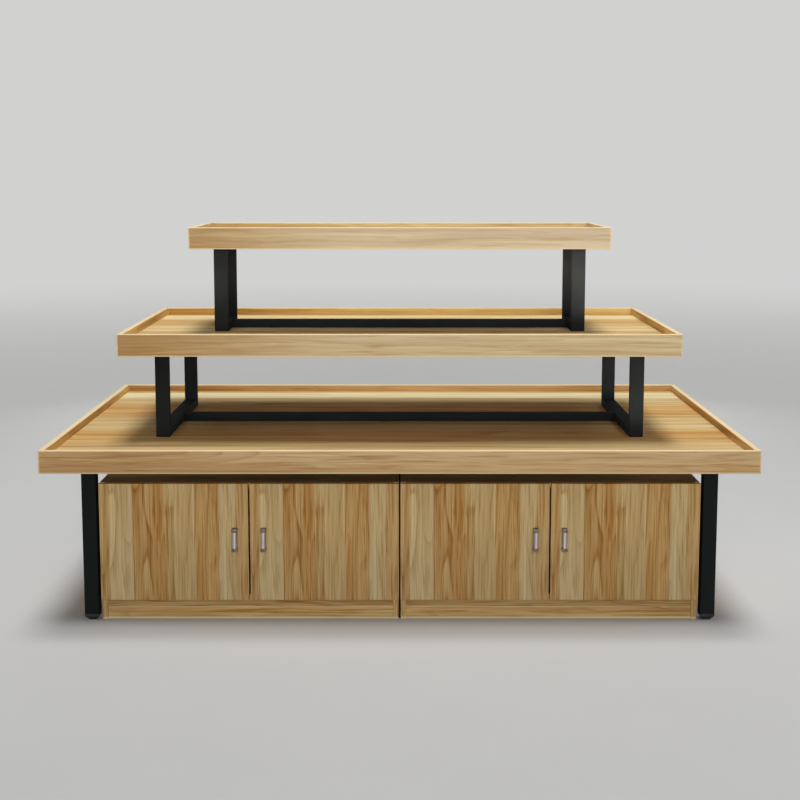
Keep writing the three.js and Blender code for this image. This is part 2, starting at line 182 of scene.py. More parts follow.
class Graph:
    """One material's node tree around a Principled shader."""

    def __init__(self, name):
        self.material = bpy.data.materials.new(name)
        self.material.use_nodes = True
        self.tree = self.material.node_tree
        self.tree.nodes.clear()
        self.output = self.add("ShaderNodeOutputMaterial")
        self.shader = self.add("ShaderNodeBsdfPrincipled")
        self.feed(self.output.inputs["Surface"], self.shader.outputs["BSDF"])

    def add(self, kind, **settings):
        node = self.tree.nodes.new(kind)
        for key, value in settings.items():
            setattr(node, key, value)
        return node

    def feed(self, socket, value):
        """Links a socket to a value, or sets it where the value is a constant."""
        if isinstance(value, bpy.types.NodeSocket):
            self.tree.links.new(value, socket)
        else:
            socket.default_value = value

    def set(self, **values):
        """Sets the shader's own sockets."""
        for key, value in values.items():
            self.feed(self.shader.inputs[key.replace("_", " ")], value)

    def math(self, operation, *values):
        node = self.add("ShaderNodeMath", operation=operation)
        for socket, value in zip(node.inputs, values):
            self.feed(socket, value)
        return node.outputs[0]

    def combine(self, x, y, z):
        node = self.add("ShaderNodeCombineXYZ")
        for socket, value in zip(node.inputs, (x, y, z)):
            self.feed(socket, value)
        return node.outputs[0]

    def point(self):
        """The place on the piece, as one vector."""
        return self.add("ShaderNodeTexCoord").outputs["Object"]

    def place(self):
        """The place on the piece, by axis."""
        split = self.add("ShaderNodeSeparateXYZ")
        self.feed(split.inputs[0], self.point())
        return dict(zip("xyz", split.outputs))

    def noise(self, vector, scale=1.0, detail=2.0, roughness=0.5):
        node = self.add("ShaderNodeTexNoise", noise_dimensions="3D")
        self.feed(node.inputs["Vector"], vector)
        node.inputs["Scale"].default_value = scale
        node.inputs["Detail"].default_value = detail
        node.inputs["Roughness"].default_value = roughness
        node.inputs["Distortion"].default_value = 0.0
        return node.outputs[0]

    def ramp(self, factor, stops, interpolation="LINEAR"):
        node = self.add("ShaderNodeValToRGB")
        node.color_ramp.interpolation = interpolation
        elements = node.color_ramp.elements
        while len(elements) > 1:
            elements.remove(elements[-1])
        for index, (position, colour) in enumerate(stops):
            element = elements[0] if index == 0 else elements.new(position)
            element.position = position
            element.color = colour
        self.feed(node.inputs["Fac"], factor)
        return node.outputs["Color"]

    def curve(self, factor, stops):
        """A grey ramp, from pairs of place and level."""
        return self.ramp(factor, [(place, (level, level, level, 1.0)) for place, level in stops])

    def tints(self, noise, first, last):
        """A blend of two tints by a noise."""
        return self.ramp(noise, [(NOISE_LOW, first), (NOISE_HIGH, last)])

    def levels(self, noise, first, last):
        """A blend of two levels by a noise."""
        return self.curve(noise, [(NOISE_LOW, first), (NOISE_HIGH, last)])

    def ease(self, value, first, last):
        """A smooth step from nothing at the first value to all at the last."""
        node = self.add("ShaderNodeMapRange", interpolation_type="SMOOTHSTEP")
        node.inputs["From Min"].default_value = first
        node.inputs["From Max"].default_value = last
        self.feed(node.inputs["Value"], value)
        return node.outputs[0]

    def mix(self, factor, first, second, blend="MIX"):
        node = self.add("ShaderNodeMix", data_type="RGBA", blend_type=blend)
        self.feed(node.inputs[0], factor)
        self.feed(node.inputs[6], first)
        self.feed(node.inputs[7], second)
        return node.outputs[2]

    def tone(self, colour, tint, share=1.0):
        """A colour times a tint, by a share of it."""
        return self.mix(share, colour, tint, "MULTIPLY")

    def channels(self, colour):
        node = self.add("ShaderNodeSeparateColor")
        self.feed(node.inputs[0], colour)
        return node.outputs

    def bump(self, height, strength, distance):
        node = self.add("ShaderNodeBump")
        node.inputs["Strength"].default_value = strength
        node.inputs["Distance"].default_value = distance
        self.feed(node.inputs["Height"], height)
        return node.outputs[0]


# Roundings of the carried-over solids' edges
RIM_BEVEL = 0.0012
BOARD_BEVEL = 0.0008
DOOR_BEVEL = 0.0011
STEEL_BEVEL = 0.0006
SMALL_BEVEL = 0.0004

# Figure of the wood: stretch along and across the grain, the noise's detail and roughness, and for a layer of
# streaks the stops of its strength
RINGS = (2.0, 15.0, 1.0, 0.4)
PATCHES = (1.3, 11.0, 2.0, 0.5, ((0.4, 0.0), (0.62, 1.0)))
BROAD = (2.4, 48.0, 2.0, 0.5, ((0.32, 1.0), (0.45, 0.4), (0.56, 0.0)))
LENSES = (6.0, 150.0, 3.0, 0.6, ((0.32, 1.0), (0.42, 0.5), (0.48, 0.0)))
LIGHT_STREAKS = (1.8, 80.0, 2.0, 0.5, ((0.52, 0.0), (0.7, 1.0)))
LINES = (3.0, 280.0, 2.0, 0.6, ((0.3, 1.0), (0.5, 0.0)))
FIBRES = (20.0, 900.0, 2.0, 0.5)
CLOUDS = (1.1, 6.0, 2.0, 0.5)
RING_COUNT = 8.0
RING_STOPS = ((0.0, 0.0), (0.5, 0.1), (0.8, 0.5), (0.92, 1.0), (1.0, 0.0))
CLOUD_STOPS = ((0.25, 0.93), (0.75, 1.06))
FIBRE_STOPS = ((0.25, 0.93), (0.75, 1.05))
STREAK_TINT = (0.7, 0.55, 0.36, 1.0)
RING_TINT = (0.66, 0.47, 0.27, 1.0)
LIGHT_TINT = (1.14, 1.2, 1.2, 1.0)
BROAD_SHARE = 0.6
LENS_SHARE = 1.0
LINE_SHARE = 0.85
LIGHT_SHARE = 0.8

# Run of the staves: wander of the joints, waves in the grain, and shifts that make each stave's figure new
STAVE_WAVER = 0.009
WAVER_STRETCH = 2.2
GRAIN_WAVE = 0.008
WAVE_STRETCH = 3.1
WAVE_CROSSWISE = 9.0
LOT_SHIFT = 9.0
REPEAT_SHIFT = 3.7
LOT_FIRST = 0.13
LOT_STEP = 0.381966
SAP_LINE = 0.0035
STAVE_MARGIN = 0.006
WOOD_GLOSS = 0.04
WOOD_ROUGHNESS = (0.74, 0.62)
LENS_HEIGHT = -0.5
WOOD_BUMP = (0.12, 0.0004)

# Size of the grain and seed of the figure, by kind of board
DECK_COARSE = 3.0
RIM_COARSE = 1.5
KICK_COARSE = 1.2
RIM_FLAME = 0.7
RIM_SHIFT = 0.021
DECK_SEED = 1.7
RIM_SEED = 2.3
DOOR_SEED = 0.4
UPRIGHT_SEED = 5.0
SHELF_SEED = 6.0
BACK_SEED = 7.0
KICK_SEED = 8.0

# Painted shade on the long rims, darker towards the left end for light that comes more from the right: where
# it starts, where it is full, and its tint
LEFT_PAINTED_SHADE = {
    "base": (-0.1, -1.1, (0.87, 0.78, 0.7, 1.0)),
    "mid": (-0.1, -0.98, (0.71, 0.56, 0.38, 1.0)),
    "top": (-0.05, -0.76, (0.79, 0.68, 0.51, 1.0)),
}

# Painted light on the rims' inner faces, a warm tint for light bounced off the decks with a level set tray by
# tray, and the decks' own tints
INNER_LONG_PAINTED_LIGHT = {
    "base": (0.84, 0.74, 0.57, 1.0),
    "mid": (1.08, 0.96, 0.6, 1.0),
    "top": (1.0, 0.95, 0.76, 1.0),
}
INNER_END_PAINTED_LIGHT = {
    "base": (0.94, 0.84, 0.58, 1.0),
    "mid": (1.18, 1.02, 0.7, 1.0),
    "top": (1.2, 1.2, 1.1, 1.0),
}
DECK_TINT = {
    "base": (1.0, 1.05, 1.11, 1.0),
    "mid": (1.02, 1.02, 0.99, 1.0),
    "top": (1.0, 1.0, 1.0, 1.0),
}
UNDERSIDE_TINT = (0.6, 0.48, 0.6, 1.0)

# Painted highlights along the rims' arrises
CROWN_HIGHLIGHT_TINT = srgb(245, 222, 177)
CROWN_DEPTH = 0.0042
CROWN_FULL = 0.0012
CROWN_SHARE = 0.9
FOOT_DEPTH = 0.0056
FOOT_FULL = 0.0026
FOOT_SHARE = 0.75
EDGE_HIGHLIGHT_TINTS = (srgb(205, 172, 122), srgb(236, 212, 168))
EDGE_ROUGHNESS = (0.5, 0.65)
EDGE_FLECK_SCALE = 90.0

# Painted light and shade on the cabinets
DOOR_SHADE_FROM = 0.42
DOOR_SHADE_TO = 0.06
DOOR_SHADE_TINT = (0.85, 0.85, 0.87, 1.0)
KICK_HIGHLIGHT = 0.008
KICK_HIGHLIGHT_FULL = 0.0048
LIP_DEPTH = 0.004
LIP_SHADE_TINT = (0.28, 0.24, 0.18, 1.0)


def stave_stops(staves):
    """Ramp stops over one repeat: the staves' tints, blended at the joints, and their figure and lot."""
    whole = sum(stave[0] for stave in staves)
    tints = []
    traits = []
    edge = 0.0
    for index, (width, tint, figure, joint) in enumerate(staves):
        lot = (index * LOT_STEP + LOT_FIRST) % 1.0
        if index > 0:
            before = staves[index - 1][1]
            if joint == EDGED:
                tints.append(((edge - SAP_LINE) / whole, before))
                before = CREAM
            tints.append(((edge - joint) / whole, before))
            tints.append(((edge + joint) / whole, tint))
        else:
            tints.append((0.0, tint))
        traits.append((edge / whole, (figure, lot, 0.0, 1.0)))
        edge += width
    tints.append((1.0, staves[-1][1]))
    return whole, tints, traits


def wood(name, along, across, staves, start=0.0, seed=0.0, coarse=1.0, flame=1.0, tone_and_painted_light=None):
    """Satin board with the grain along one axis and staves side by side along another.

    A coarse board has its grain drawn larger, and flame is the strength of its growth rings."""
    graph = Graph(name)
    place = graph.place()
    depth = ({"x", "y", "z"} - {along, across}).pop()
    u = graph.math("DIVIDE", place[along], coarse)
    v = graph.math("SUBTRACT", place[across], start)
    w = graph.math("ADD", place[depth], seed)
    whole, tints, traits = stave_stops(staves)

    drift = graph.noise(graph.combine(graph.math("MULTIPLY", u, WAVER_STRETCH), w, seed), detail=1.0)
    waver = graph.math("MULTIPLY_ADD", drift, STAVE_WAVER, -STAVE_WAVER / 2)
    repeats = graph.math("DIVIDE", graph.math("ADD", v, waver), whole)
    share = graph.math("FRACT", repeats)
    tint = graph.ramp(share, tints)
    strength, lot = graph.channels(graph.ramp(share, traits, "CONSTANT"))[:2]
    repeat_shift = graph.math("MULTIPLY", graph.math("FLOOR", repeats), REPEAT_SHIFT)
    shift = graph.math("MULTIPLY_ADD", lot, LOT_SHIFT, repeat_shift)

    wave_place = graph.combine(
        graph.math("MULTIPLY_ADD", u, WAVE_STRETCH, shift),
        graph.math("MULTIPLY", v, WAVE_CROSSWISE / coarse),
        w,
    )
    wave = graph.noise(wave_place, detail=1.0)
    reach = GRAIN_WAVE * coarse
    bent = graph.math("ADD", v, graph.math("MULTIPLY_ADD", wave, 2 * reach, -reach))

    def layer(lengthwise, crosswise, detail, roughness, stops=None):
        """A noise drawn out along the grain, new in every stave."""
        vector = graph.combine(
            graph.math("MULTIPLY_ADD", u, lengthwise, shift),
            graph.math("MULTIPLY", bent, crosswise / coarse),
            graph.math("MULTIPLY_ADD", w, crosswise / coarse, shift),
        )
        noise = graph.noise(vector, detail=detail, roughness=roughness)
        return noise if stops is None else graph.curve(noise, stops)

    def darken(colour, mask, amount, tone):
        """Streaks of a tone, as strong as the stave's figure."""
        weight = graph.math("MULTIPLY", graph.math("MULTIPLY", mask, strength), amount)
        return graph.tone(colour, tone, weight)

    # Growth rings are the level lines of a slow noise. The streaks and lines are faster ones.
    phase = graph.math("FRACT", graph.math("MULTIPLY", layer(*RINGS), RING_COUNT))
    flames = graph.math("MULTIPLY", graph.curve(phase, RING_STOPS), layer(*PATCHES))
    lenses = layer(*LENSES)
    fibres = layer(*FIBRES)
    colour = darken(tint, layer(*BROAD), BROAD_SHARE, STREAK_TINT)
    colour = darken(colour, lenses, LENS_SHARE, STREAK_TINT)
    colour = darken(colour, flames, flame, RING_TINT)
    colour = darken(colour, layer(*LINES), LINE_SHARE, STREAK_TINT)
    colour = graph.tone(colour, LIGHT_TINT, graph.math("MULTIPLY", layer(*LIGHT_STREAKS), LIGHT_SHARE))
    colour = graph.tone(colour, graph.curve(layer(*CLOUDS), CLOUD_STOPS))
    colour = graph.tone(colour, graph.curve(fibres, FIBRE_STOPS))
    # A last touch: the decks' own tone, and painted light and shade on the rims and cabinet boards.
    if tone_and_painted_light is not None:
        colour = tone_and_painted_light(graph, place, colour)

    height = graph.math("MULTIPLY_ADD", lenses, LENS_HEIGHT, fibres)
    graph.set(
        Base_Color=colour,
        Roughness=graph.levels(fibres, *WOOD_ROUGHNESS),
        Specular_IOR_Level=WOOD_GLOSS,
        Normal=graph.bump(height, *WOOD_BUMP),
    )
    return graph.material


def rim_painted_light(along, across, box, inner_painted_light, lean=None):
    """Painted light for a tray's rim: a tint on its inner face, pale painted highlights along its arrises,
    and a slow painted shade along it towards the left.
    """
    low, high = box
    middle = abs(getattr(low, across) + getattr(high, across)) / 2
    half = getattr(high, along)

    def tone_and_painted_light(graph, place, colour):
        # Painted shade towards the left end.
        if lean is not None:
            first, last, tint = lean
            colour = graph.tone(colour, tint, graph.ease(place["x"], first, last))
        # Painted light on the inner face.
        inner = graph.math("LESS_THAN", graph.math("ABSOLUTE", place[across]), middle)
        colour = graph.tone(colour, inner_painted_light, inner)
        # Painted highlights along the top and bottom arrises and at the ends.
        crown = graph.ease(place["z"], high.z - CROWN_DEPTH, high.z - CROWN_FULL)
        foot = graph.ease(place["z"], low.z + FOOT_DEPTH, low.z + FOOT_FULL)
        end = graph.ease(graph.math("ABSOLUTE", place[along]), half - FOOT_DEPTH, half - FOOT_FULL)
        lesser = graph.math("MULTIPLY", graph.math("MAXIMUM", foot, end), FOOT_SHARE)
        painted_highlight = graph.math("MAXIMUM", crown, lesser)
        return graph.mix(graph.math("MULTIPLY", painted_highlight, CROWN_SHARE), colour, CROWN_HIGHLIGHT_TINT)
    return tone_and_painted_light


def deck_finish(box, tint):
    """One tone over a whole deck, and a duller, unfinished underside."""
    low, high = box
    middle = (low.z + high.z) / 2

    def tone_and_painted_light(graph, place, colour):
        under = graph.math("LESS_THAN", place["z"], middle)
        return graph.tone(graph.tone(colour, tint), UNDERSIDE_TINT, under)
    return tone_and_painted_light


def door_painted_shade(graph, place, colour):
    """Painted shade: a slow darkening towards the floor."""
    return graph.tone(colour, DOOR_SHADE_TINT, graph.ease(place["z"], DOOR_SHADE_FROM, DOOR_SHADE_TO))


def kick_painted_light(graph, place, colour):
    """A painted highlight: a pale strip along the board's foot, by the floor."""
    return graph.mix(graph.ease(place["z"], KICK_HIGHLIGHT, KICK_HIGHLIGHT_FULL), colour, CREAM)


def lip_painted_shade(box):
    """Painted shade: a dark line along the front lip of a cabinet's top, over the doors, where the tray above
    shades it.
    """
    low, high = box

    def tone_and_painted_light(graph, place, colour):
        upper = graph.math("GREATER_THAN", place["z"], high.z - LIP_DEPTH)
        front = graph.math("LESS_THAN", place["y"], low.y + BOARD_BEVEL)
        return graph.tone(colour, LIP_SHADE_TINT, graph.math("MULTIPLY", upper, front))
    return tone_and_painted_light


def painted_edge_highlight(name):
    """The paler arris of a board, a painted highlight on its bevel."""
    graph = Graph(name)
    fleck = graph.noise(graph.point(), scale=EDGE_FLECK_SCALE, detail=3.0)
    graph.set(
        Base_Color=graph.tints(fleck, *EDGE_HIGHLIGHT_TINTS),
        Roughness=graph.levels(fleck, *EDGE_ROUGHNESS),
        Specular_IOR_Level=WOOD_GLOSS,
    )
    return graph.material


# Powder coat. Painted light makes it lighter high up, and on the stands' posts to the right.
COAT_TINTS = (srgb(29, 32, 32), srgb(36, 39, 39))
COAT_ROUGHNESS = (0.62, 0.74)
COAT_GLOSS = 0.015
COAT_CLOUD_SCALE = 7.0
PEEL_SCALE = 650.0
PEEL_BUMP = (0.25, 0.0003)
COAT_PAINTED_LIGHT_FROM = 0.95
COAT_PAINTED_LIGHT_TO = 1.2
COAT_PAINTED_LIGHT_TINT = (2.4, 2.2, 2.2, 1.0)
COAT_RIGHT_LIGHT_END = 0.9
COAT_RIGHT_LIGHT_TINT = (2.35, 2.35, 2.4, 1.0)

# Height of the lowest stand's foot, rise of a tier, and the share of the rise over which the painted light on
# a post fades in, leaving its foot darker as painted shade
STAND_FOOT = 0.5842
TIER_RISE = 0.3594
POST_FROM = 0.08
POST_TO = 0.24

# Moulded plastic
PLASTIC_TINTS = ((0.35, srgb(34, 34, 34)), (0.75, srgb(46, 46, 46)))
PLASTIC_ROUGHNESS = (0.7, 0.58)
PLASTIC_GLOSS = 0.3
SPARK_SCALE = 1400.0
SPARK_BUMP = (0.3, 0.0002)
SCUFF_SCALE = 45.0

# Handles: a pale bar between darker posts, brushed lengthwise
HANDLE_MIDDLE = 0.286
HANDLE_BAR_HALF = 0.0275
BAR_TINTS = (srgb(150, 143, 140), srgb(174, 167, 164))
HANDLE_POST_TINTS = (srgb(88, 74, 68), srgb(108, 92, 85))
HANDLE_ROUGHNESS = (0.3, 0.42)
BRUSH_ACROSS = 2400.0
BRUSH_ALONG = 60.0
BRUSH_BUMP = (0.08, 0.0002)

# Nickel plate
NICKEL_TINTS = (srgb(176, 177, 179), srgb(204, 205, 206))
NICKEL_ROUGHNESS = (0.24, 0.38)
NICKEL_CLOUD_SCALE = 160.0


def powder_coat(name):
    """Black powder coat with a fine orange peel, and painted light that makes it lighter high up and on the
    posts to the right.
    """
    graph = Graph(name)
    point = graph.point()
    place = graph.place()
    peel = graph.noise(point, scale=PEEL_SCALE, detail=2.0)
    cloud = graph.noise(point, scale=COAT_CLOUD_SCALE, detail=3.0)
    colour = graph.tints(cloud, *COAT_TINTS)
    # Painted light: lighter high up.
    colour = graph.tone(colour, COAT_PAINTED_LIGHT_TINT, graph.ease(place["z"], COAT_PAINTED_LIGHT_FROM, COAT_PAINTED_LIGHT_TO))
    # Painted light on the posts to the right, fading in above each post's foot, which stays darker as painted
    # shade.
    tiers = graph.math("DIVIDE", graph.math("SUBTRACT", place["z"], STAND_FOOT), TIER_RISE)
    post = graph.ease(graph.math("FRACT", tiers), POST_FROM, POST_TO)
    post = graph.math("MULTIPLY", post, graph.math("GREATER_THAN", tiers, 0.0))
    right_painted_light = graph.math("MULTIPLY", graph.ease(place["x"], 0.0, COAT_RIGHT_LIGHT_END), post)
    graph.set(
        Base_Color=graph.tone(colour, COAT_RIGHT_LIGHT_TINT, right_painted_light),
        Roughness=graph.levels(cloud, *COAT_ROUGHNESS),
        Specular_IOR_Level=COAT_GLOSS,
        Normal=graph.bump(peel, *PEEL_BUMP),
    )
    return graph.material


def moulded_plastic(name):
    """Matt black plastic with a fine spark-eroded texture."""
    graph = Graph(name)
    point = graph.point()
    spark = graph.noise(point, scale=SPARK_SCALE, detail=3.0)
    scuff = graph.noise(point, scale=SCUFF_SCALE, detail=4.0)
    graph.set(
        Base_Color=graph.ramp(scuff, PLASTIC_TINTS),
        Roughness=graph.levels(scuff, *PLASTIC_ROUGHNESS),
        Specular_IOR_Level=PLASTIC_GLOSS,
        Normal=graph.bump(spark, *SPARK_BUMP),
    )
    return graph.material


def handle_metal(name):
    """Satin bar between darker posts, told apart by height."""
    graph = Graph(name)
    place = graph.place()
    away = graph.math("ABSOLUTE", graph.math("SUBTRACT", place["z"], HANDLE_MIDDLE))
    post = graph.math("GREATER_THAN", away, HANDLE_BAR_HALF)
    stretches = (("x", BRUSH_ACROSS), ("y", BRUSH_ACROSS), ("z", BRUSH_ALONG))
    vector = graph.combine(*(graph.math("MULTIPLY", place[axis], stretch) for axis, stretch in stretches))
    brushed = graph.noise(vector, detail=2.0)
    bar = graph.tints(brushed, *BAR_TINTS)
    dark = graph.tints(brushed, *HANDLE_POST_TINTS)
    graph.set(
        Base_Color=graph.mix(post, bar, dark),
        Roughness=graph.levels(brushed, *HANDLE_ROUGHNESS),
        Metallic=1.0,
        Normal=graph.bump(brushed, *BRUSH_BUMP),
    )
    return graph.material


def plated_steel(name):
    """Nickel-plated pressed steel."""
    graph = Graph(name)
    cloud = graph.noise(graph.point(), scale=NICKEL_CLOUD_SCALE, detail=3.0)
    graph.set(
        Base_Color=graph.tints(cloud, *NICKEL_TINTS),
        Roughness=graph.levels(cloud, *NICKEL_ROUGHNESS),
        Metallic=1.0,
    )
    return graph.material


# Clean-up of the carried-over solids, with angles in degrees
WELD_DISTANCE = 1e-5
SMOOTH_ANGLE = 32.0
FLAT_ANGLE = 0.5
BEVEL_ANGLE = 40.0
BEVEL_SEGMENTS = 2
NORMAL_WEIGHT = 60


def smoothing_group():
    """Welds the loose facets and marks only true edges as sharp."""
    tree = bpy.data.node_groups.new("weld_and_smooth", "GeometryNodeTree")
    tree.interface.new_socket("Geometry", in_out="INPUT", socket_type="NodeSocketGeometry")
    tree.interface.new_socket("Geometry", in_out="OUTPUT", socket_type="NodeSocketGeometry")
    start = tree.nodes.new("NodeGroupInput")
    end = tree.nodes.new("NodeGroupOutput")
    merge = tree.nodes.new("GeometryNodeMergeByDistance")
    merge.inputs["Distance"].default_value = WELD_DISTANCE
    angle = tree.nodes.new("GeometryNodeInputMeshEdgeAngle")
    sharp = tree.nodes.new("FunctionNodeCompare")
    sharp.data_type = "FLOAT"
    sharp.operation = "GREATER_THAN"
    sharp.inputs["B"].default_value = math.radians(SMOOTH_ANGLE)
    normal = tree.nodes.new("GeometryNodeSetMeshNormal")
    normal.mode = "SHARPNESS"
    normal.inputs["Remove Custom"].default_value = True
    normal.inputs["Face Sharpness"].default_value = False
    tree.links.new(start.outputs[0], merge.inputs["Geometry"])
    tree.links.new(merge.outputs["Geometry"], normal.inputs["Mesh"])
    tree.links.new(angle.outputs["Unsigned Angle"], sharp.inputs["A"])
    tree.links.new(sharp.outputs["Result"], normal.inputs["Edge Sharpness"])
    tree.links.new(normal.outputs["Mesh"], end.inputs[0])
    return tree


def dress(node, material, bevel, edge=None):
    """Gives a carried-over solid its material and softly broken edges, with a painted highlight on the bevels
    where an edge material is given.
    """
    piece = NODES[node]
    piece.data.materials.clear()
    piece.data.materials.append(material)
    if edge is not None:
        piece.data.materials.append(edge)
    weld = piece.modifiers.new("weld", "NODES")
    weld.node_group = SMOOTHING
    flat = piece.modifiers.new("flat", "DECIMATE")
    flat.decimate_type = "DISSOLVE"
    flat.angle_limit = math.radians(FLAT_ANGLE)
    rounding = piece.modifiers.new("rounding", "BEVEL")
    rounding.width = bevel
    rounding.segments = BEVEL_SEGMENTS
    rounding.limit_method = "ANGLE"
    rounding.angle_limit = math.radians(BEVEL_ANGLE)
    rounding.material = 1 if edge is not None else -1
    rounding.use_clamp_overlap = True
    shade = piece.modifiers.new("shade", "WEIGHTED_NORMAL")
    shade.keep_sharp = True
    shade.weight = NORMAL_WEIGHT


# Stage

def stage_world():
    """A faint even light. Camera, glossy and transmission rays see the backdrop's colour instead."""
    world = bpy.data.worlds.new("studio")
    world.use_nodes = True
    tree = world.node_tree
    tree.nodes.clear()
    output = tree.nodes.new("ShaderNodeOutputWorld")
    path = tree.nodes.new("ShaderNodeLightPath")
    seen = tree.nodes.new("ShaderNodeBackground")
    seen.inputs["Color"].default_value = BACKDROP
    light = tree.nodes.new("ShaderNodeBackground")
    light.inputs["Color"].default_value = WHITE
    light.inputs["Strength"].default_value = AMBIENT_LEVEL
    camera_or_glossy = tree.nodes.new("ShaderNodeMath")
    camera_or_glossy.operation = "MAXIMUM"
    shown = tree.nodes.new("ShaderNodeMath")
    shown.operation = "MAXIMUM"
    mix = tree.nodes.new("ShaderNodeMixShader")
    tree.links.new(path.outputs["Is Camera Ray"], camera_or_glossy.inputs[0])
    tree.links.new(path.outputs["Is Glossy Ray"], camera_or_glossy.inputs[1])
    tree.links.new(camera_or_glossy.outputs[0], shown.inputs[0])
    tree.links.new(path.outputs["Is Transmission Ray"], shown.inputs[1])
    tree.links.new(shown.outputs[0], mix.inputs[0])
    tree.links.new(light.outputs[0], mix.inputs[1])
    tree.links.new(seen.outputs[0], mix.inputs[2])
    tree.links.new(mix.outputs[0], output.inputs["Surface"])
    bpy.context.scene.world = world


def stage_floor():
    """A plain floor that takes the table's shadow and fades into the backdrop far away."""
    near, far = -FLOOR_HALF, FLOOR_HALF
    corners = [(near, near, 0.0), (far, near, 0.0), (far, far, 0.0), (near, far, 0.0)]
    mesh = bpy.data.meshes.new("floor")
    mesh.from_pydata(corners, [], [(0, 1, 2, 3)])
    floor = bpy.data.objects.new("floor", mesh)
    bpy.context.scene.collection.objects.link(floor)
    graph = Graph("floor_paint")
    place = graph.place()
    path = graph.add("ShaderNodeLightPath")
    shown = graph.math("MAXIMUM", path.outputs["Is Camera Ray"], path.outputs["Is Glossy Ray"])
    shown = graph.math("MAXIMUM", shown, path.outputs["Is Transmission Ray"])
    speckle = graph.noise(graph.combine(place["x"], place["y"], 0.0), scale=FLOOR_SPECKLE_SCALE, detail=4.0)
    paint = graph.tone(graph.levels(speckle, *FLOOR_SPECKLE_LEVELS), FLOOR_COLOUR)
    graph.set(
        Base_Color=graph.mix(shown, FLOOR_BOUNCE, paint),
        Roughness=FLOOR_ROUGHNESS,
        Specular_IOR_Level=FLOOR_GLOSS,
    )
    squares = graph.math("ADD", graph.math("POWER", place["x"], 2.0), graph.math("POWER", place["y"], 2.0))
    fade = graph.ease(graph.math("SQRT", squares), FLOOR_FADE_FROM, FLOOR_FADE_TO)
    glow = graph.add("ShaderNodeEmission")
    glow.inputs["Color"].default_value = BACKDROP
    blend = graph.add("ShaderNodeMixShader")
    graph.feed(blend.inputs[0], graph.math("MULTIPLY", fade, shown))
    graph.feed(blend.inputs[1], graph.shader.outputs[0])
    graph.feed(blend.inputs[2], glow.outputs[0])
    graph.feed(graph.output.inputs["Surface"], blend.outputs[0])
    mesh.materials.append(graph.material)


def lamp(name, kind, place, target, **settings):
    """A light at a place that points at a target, itself unseen."""
    data = bpy.data.lights.new(name, kind)
    for key, value in settings.items():
        setattr(data, key, value)
    made = bpy.data.objects.new(name, data)
    made.location = place
    made.rotation_euler = (Vector(target) - Vector(place)).to_track_quat("-Z", "Y").to_euler()
    made.visible_camera = False
    bpy.context.scene.collection.objects.link(made)


def panel(name, place, target, width, height, level, spread):
    """A soft panel of light that brings a surface facing it at the target to about the given level."""
    distance = (Vector(target) - Vector(place)).length
    fan = math.radians(spread)
    reach = math.tan(fan / 2)
    power = level * (math.pi * distance) ** 2 * (reach - fan / 2) / reach
    lamp(name, "AREA", place, target, shape="RECTANGLE", size=width, size_y=height, energy=power, spread=fan)


def stage_lights():
    """The distant lights and the soft panels."""
    for name, (tilt, level, width) in SUNS.items():
        angle = math.radians(tilt)
        lean = math.tan(math.radians(SUN_LEAN)) * math.cos(angle)
        place = (SUN_AWAY * lean, -SUN_AWAY * math.sin(angle), SUN_AWAY * math.cos(angle))
        lamp(name, "SUN", place, (0.0, 0.0, 0.0), energy=level * math.pi, angle=math.radians(width))
    for name, settings in PANELS.items():
        panel(name, *settings)
    # The panel behind would only show as a glare on the decks
    bpy.data.objects["back_panel"].visible_glossy = False


def stage_camera():
    """The camera at the photo's viewing angle."""
    data = bpy.data.cameras.new("camera")
    data.lens = CAMERA_LENS
    data.sensor_width = CAMERA_SENSOR
    camera = bpy.data.objects.new("camera", data)
    camera.location = CAMERA_PLACE
    camera.rotation_euler = (math.radians(90.0 - CAMERA_TILT), 0.0, 0.0)
    bpy.context.scene.collection.objects.link(camera)
    bpy.context.scene.camera = camera


# Table

def dress_trays(edge):
    """Decks and rims. Each tray has one wood for its long rims and one for its end rims."""
    for order, tray in enumerate(TRAYS):
        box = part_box(f"{tray}_tray_deck")
        low = box[0]
        deck = wood(
            f"{tray}_deck_wood", "x", "y", DECK_STAVES[tray],
            start=low.y, seed=DECK_SEED * order, coarse=DECK_COARSE,
            tone_and_painted_light=deck_finish(box, DECK_TINT[tray]),
        )
        dress(f"{tray}_tray_deck", deck, BOARD_BEVEL, edge)
        long_painted_light = rim_painted_light("x", "y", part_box(f"{tray}_tray_front_rim"), INNER_LONG_PAINTED_LIGHT[tray], LEFT_PAINTED_SHADE[tray])
        end_painted_light = rim_painted_light("y", "x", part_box(f"{tray}_tray_right_rim"), INNER_END_PAINTED_LIGHT[tray])
        kinds = (("long", "x", long_painted_light, ENDS), ("end", "y", end_painted_light, SIDES))
        for number, (kind, along, tone_and_painted_light, places) in enumerate(kinds):
            board = wood(
                f"{tray}_{kind}_rim_wood", along, "z", RIM_STAVES[tray],
                start=low.z - RIM_SHIFT * (order + number), seed=RIM_SEED * order + number,
                coarse=RIM_COARSE, flame=RIM_FLAME, tone_and_painted_light=tone_and_painted_light,
            )
            for place in places:
                dress(f"{tray}_tray_{place}_rim", board, RIM_BEVEL, edge)


def dress_steel(steel, plastic):
    """The leg frame with its feet, and the stands."""
    names = ["base_left_end_frame", "base_right_end_frame", "base_front_rail", "base_back_rail"]
    names += ["base_left_cross_rail", "base_right_cross_rail"]
    for stand in STANDS:
        names += [f"{stand}_stand_left_hoop", f"{stand}_stand_right_hoop", f"{stand}_stand_rail"]
    for name in names:
        dress(name, steel, STEEL_BEVEL)
    for end in ENDS:
        for side in SIDES:
            dress(f"{end}_{side}_foot", plastic, STEEL_BEVEL)


